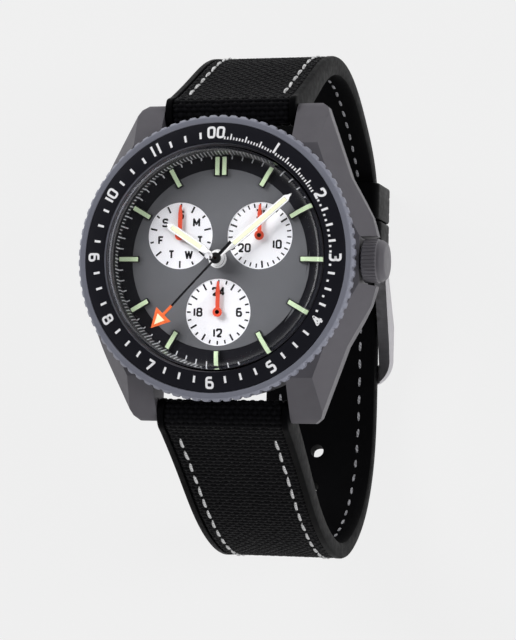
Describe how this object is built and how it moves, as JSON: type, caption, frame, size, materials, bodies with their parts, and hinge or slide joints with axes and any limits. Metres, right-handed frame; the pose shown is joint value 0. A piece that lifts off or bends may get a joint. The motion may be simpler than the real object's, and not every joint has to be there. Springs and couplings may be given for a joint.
{
  "type": "wrist watch",
  "caption": "Analogue field watch with a turning dive bezel, three calendar sub-dials, a fluted crown between guards and a rubber-backed woven strap closed by a tang buckle.",
  "frame": {"origin": "centre of the case back's outer face, the face that rests on the wrist", "axes": "+Z out through the dial, +Y towards 12 o'clock, +X towards the crown at 3 o'clock"},
  "size_m": [0.045, 0.0784, 0.0717],
  "materials": {
    "case_grey": "matt blasted dark grey coating",
    "steel": "brushed",
    "black_rubber": "matt moulded",
    "crystal_clear": "clear polished",
    "black_paint": "gloss",
    "dial_black": "matt print",
    "lume": "matt",
    "white_plastic": "matt",
    "brass": "plain",
    "copper": "enamelled wire",
    "green_board": "solder mask",
    "bezel_grey": "satin dark grey coating",
    "insert_black": "anodised matt black",
    "white_paint": "gloss",
    "red_paint": "satin",
    "woven_black": "coarse basket weave"
  },
  "bodies": {
    "case": {"case_middle": "case_grey", "case_back": "steel", "case_back_gasket": "black_rubber", "crystal": "crystal_clear", "crystal_gasket": "black_rubber", "flange_ring": "black_paint", "dial": "dial_black", "index_frames": "black_paint", "index_lume": "lume", "crown_tube": "steel", "spring_bars": "steel", "movement_ring": "white_plastic", "main_plate": "brass", "dial_side_plate": "brass", "train_bridge": "brass", "movement_screws": "steel", "motor_coil": "copper", "stator": "steel", "battery": "steel", "battery_clamp": "steel", "circuit_board": "green_board", "quartz_can": "steel", "bezel_click_spring": "steel"},
    "bezel": {"bezel_ring": "bezel_grey", "bezel_insert": "insert_black"},
    "setting_slide": {"setting_lever": "steel"},
    "crown": {"crown": "bezel_grey", "crown_gasket": "black_rubber", "winding_stem": "steel", "sliding_pinion": "steel"},
    "seconds": {"second_hand": "black_paint", "second_hand_lume": "lume", "second_wheel": "brass"},
    "minutes": {"minute_hand": "white_paint", "minute_hand_lume": "lume", "centre_wheel": "brass"},
    "hours": {"hour_hand": "white_paint", "hour_hand_lume": "lume", "hour_wheel": "brass"},
    "day": {"day_hand": "red_paint", "day_wheel": "white_plastic"},
    "date": {"date_hand": "red_paint", "date_wheel": "white_plastic"},
    "hour24": {"hour24_hand": "red_paint", "hour24_wheel": "brass"},
    "idler24": {"hour24_idler": "brass"},
    "calendar_drive": {"calendar_wheel": "white_plastic"},
    "motion_work": {"minute_wheel": "brass"},
    "third": {"third_wheel": "brass"},
    "fifth": {"fifth_wheel": "brass"},
    "rotor": {"rotor": "white_plastic"},
    "strap_short": {"strap_short_base": "black_rubber", "strap_short_fabric": "woven_black", "fixed_keeper": "black_rubber"},
    "floating_keeper": {"floating_keeper": "black_rubber"},
    "buckle": {"buckle_frame": "bezel_grey", "buckle_pin": "steel"},
    "tongue": {"buckle_tongue": "bezel_grey"},
    "strap_long": {"strap_long_base": "black_rubber", "strap_long_fabric": "woven_black"}
  },
  "joints": [
    {"name": "bezel_turn", "type": "hinge", "parent": "case", "child": "bezel", "pos_m": [0, 0, 0.0085], "axis": [0, 0, 1], "continuous": true},
    {"name": "crown_pull", "type": "slide", "parent": "case", "child": "setting_slide", "axis": [1, 0, 0], "range_m": [0, 0.001]},
    {"name": "crown_turn", "type": "hinge", "parent": "setting_slide", "child": "crown", "pos_m": [0.022, 0, 0.0051], "axis": [1, 0, 0], "continuous": true},
    {"name": "second_turn", "type": "hinge", "parent": "case", "child": "seconds", "pos_m": [0, 0, 0.006], "axis": [0, 0, -1], "continuous": true},
    {"name": "minute_turn", "type": "hinge", "parent": "case", "child": "minutes", "pos_m": [0, 0, 0.006], "axis": [0, 0, -1], "continuous": true},
    {"name": "hour_turn", "type": "hinge", "parent": "case", "child": "hours", "pos_m": [0, 0, 0.006], "axis": [0, 0, -1], "continuous": true},
    {"name": "day_turn", "type": "hinge", "parent": "case", "child": "day", "pos_m": [-0.00589, 0.0034, 0.006], "axis": [0, 0, -1], "continuous": true},
    {"name": "date_turn", "type": "hinge", "parent": "case", "child": "date", "pos_m": [0.00589, 0.0034, 0.006], "axis": [0, 0, -1], "continuous": true},
    {"name": "hour24_turn", "type": "hinge", "parent": "case", "child": "hour24", "pos_m": [0, -0.00755, 0.006], "axis": [0, 0, -1], "continuous": true},
    {"name": "idler24_turn", "type": "hinge", "parent": "case", "child": "idler24", "pos_m": [0.00261, -0.00239, 0.006], "axis": [0, 0, -1], "continuous": true},
    {"name": "calendar_drive_turn", "type": "hinge", "parent": "case", "child": "calendar_drive", "pos_m": [0, 0.00672, 0.006], "axis": [0, 0, -1], "continuous": true},
    {"name": "motion_work_turn", "type": "hinge", "parent": "case", "child": "motion_work", "pos_m": [0.00263, 0.00096, 0.006], "axis": [0, 0, -1], "continuous": true},
    {"name": "third_turn", "type": "hinge", "parent": "case", "child": "third", "pos_m": [-0.0028, -0.00102, 0.006], "axis": [0, 0, -1], "continuous": true},
    {"name": "fifth_turn", "type": "hinge", "parent": "case", "child": "fifth", "pos_m": [0.0022, -0.00185, 0.006], "axis": [0, 0, -1], "continuous": true},
    {"name": "rotor_turn", "type": "hinge", "parent": "case", "child": "rotor", "pos_m": [0.00355, -0.00345, 0.006], "axis": [0, 0, -1], "continuous": true},
    {"name": "strap_short_swing", "type": "hinge", "parent": "case", "child": "strap_short", "pos_m": [0, 0.0214, 0.0029], "axis": [1, 0, 0], "range_deg": [0, 60], "deforming": ["strap_long_base", "strap_long_fabric"]},
    {"name": "strap_long_swing", "type": "hinge", "parent": "case", "child": "strap_long", "pos_m": [0, -0.0214, 0.0029], "axis": [-1, 0, 0], "range_deg": [0, 60], "deforming": ["strap_long_base", "strap_long_fabric"]},
    {"name": "keeper_slide", "type": "slide", "parent": "strap_short", "child": "floating_keeper", "axis": [0, 1, 0], "range_m": [0, 0.0009]},
    {"name": "buckle_swing", "type": "hinge", "parent": "strap_short", "child": "buckle", "pos_m": [0, 0.002, -0.0524], "axis": [1, 0, 0], "range_deg": [0, 15], "deforming": ["strap_long_base", "strap_long_fabric"]},
    {"name": "tongue_swing", "type": "hinge", "parent": "buckle", "child": "tongue", "pos_m": [0, 0.002, -0.0524], "axis": [1, 0, 0], "range_deg": [0, 35], "deforming": ["strap_long_base", "strap_long_fabric"]}
  ],
  "couplings": [
    {"joint": "second_turn", "follows": "minute_turn", "ratio": 60},
    {"joint": "hour_turn", "follows": "minute_turn", "ratio": 0.083333},
    {"joint": "day_turn", "follows": "minute_turn", "ratio": 0.0059524},
    {"joint": "date_turn", "follows": "minute_turn", "ratio": 0.0013441},
    {"joint": "hour24_turn", "follows": "minute_turn", "ratio": 0.041667},
    {"joint": "idler24_turn", "follows": "minute_turn", "ratio": -0.13889},
    {"joint": "calendar_drive_turn", "follows": "minute_turn", "ratio": -0.041667},
    {"joint": "motion_work_turn", "follows": "minute_turn", "ratio": -0.33333},
    {"joint": "third_turn", "follows": "minute_turn", "ratio": -8},
    {"joint": "fifth_turn", "follows": "minute_turn", "ratio": -360},
    {"joint": "rotor_turn", "follows": "minute_turn", "ratio": 1800}
  ]
}
